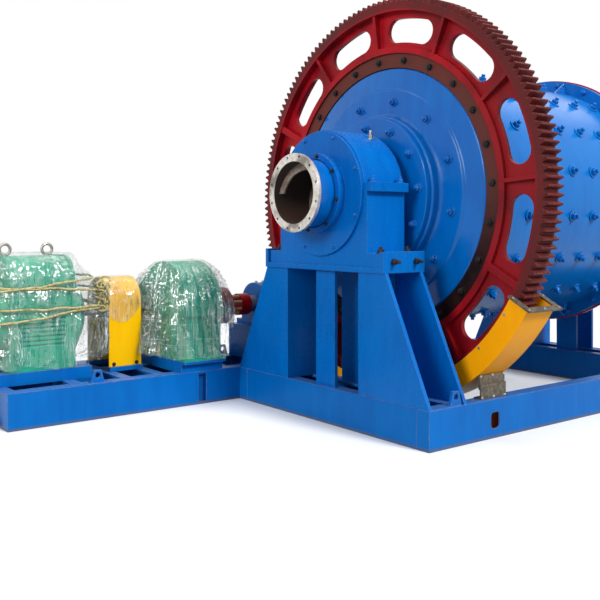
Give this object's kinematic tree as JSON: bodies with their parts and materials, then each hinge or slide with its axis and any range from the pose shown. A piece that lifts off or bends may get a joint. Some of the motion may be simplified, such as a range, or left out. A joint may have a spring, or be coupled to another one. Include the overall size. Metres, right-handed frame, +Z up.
{
  "type": "ball mill",
  "caption": "Overflow ball mill: hollow drum on two trunnion bearings, turned by a split girth gear from a pinion, with coupling, reducer, motor, guards and welded base frames.",
  "frame": {"origin": "on the ground under the middle of the discharge bearing, on the bottom of the base's cross beam", "axes": "+X along the mill axis from the discharge end to the feed end, +Y towards the pinion drive, +Z up"},
  "size_m": [6.184, 4.03, 3.505],
  "materials": {
    "blue_paint": "gloss enamel",
    "red_gear": "gloss enamel over brown primer",
    "gear_steel": "cut steel, oiled",
    "machined_steel": "turned",
    "sleeve_steel": "bare turned flange",
    "coupling_red": "gloss enamel",
    "pin_brass": "dull pins with elastic bushes",
    "guard_yellow": "gloss enamel",
    "bare_steel": "mill scale, unpainted",
    "green_paint": "satin enamel"
  },
  "bodies": {
    "frame": {"coupling_guard": "guard_yellow", "coupling_guard_rails": "blue_paint", "discharge_bearing_body": "blue_paint", "discharge_bearing_cap": "blue_paint", "discharge_bearing_covers": "blue_paint", "discharge_cross_beams": "blue_paint", "discharge_pedestal": "blue_paint", "discharge_sole_plate": "blue_paint", "drive_cross_beams": "blue_paint", "drive_rails": "blue_paint", "drive_side_beam": "blue_paint", "fast_coupling": "machined_steel", "feed_bearing_body": "blue_paint", "feed_bearing_cap": "blue_paint", "feed_bearing_covers": "blue_paint", "feed_cross_beams": "blue_paint", "feed_pedestal": "blue_paint", "feed_sole_plate": "blue_paint", "gear_guard_end": "guard_yellow", "gear_guard_feet": "bare_steel", "gear_guard_flange": "bare_steel", "gear_guard_trough": "guard_yellow", "motor_ends": "green_paint", "motor_eye_bolts": "green_paint", "motor_frame": "green_paint", "motor_rails": "blue_paint", "near_side_beam": "blue_paint", "pinion_housings": "blue_paint", "pinion_stands": "blue_paint", "reducer_lower_case": "green_paint", "reducer_plinth": "blue_paint", "reducer_upper_case": "green_paint"},
    "drum": {"shell": "blue_paint", "discharge_cover": "blue_paint", "feed_cover": "blue_paint", "discharge_trunnion": "blue_paint", "feed_trunnion": "blue_paint", "discharge_sleeve": "sleeve_steel", "feed_sleeve": "sleeve_steel", "gear_half_upper": "red_gear", "gear_half_lower": "red_gear"},
    "pinion": {"pinion": "gear_steel", "pinion_shaft": "machined_steel", "coupling_reducer_half": "coupling_red", "coupling_pinion_half": "coupling_red", "coupling_pins": "pin_brass", "output_shaft": "machined_steel"}
  },
  "joints": [
    {"name": "drum_spin", "type": "hinge", "parent": "frame", "child": "drum", "pos_m": [0, 0, 1.845], "axis": [1, 0, 0], "continuous": true},
    {"name": "pinion_spin", "type": "hinge", "parent": "frame", "child": "pinion", "pos_m": [0.545, 1.54287, 0.82419], "axis": [1, 0, 0], "continuous": true}
  ],
  "couplings": [
    {"joint": "pinion_spin", "follows": "drum_spin", "ratio": -7.8095}
  ]
}
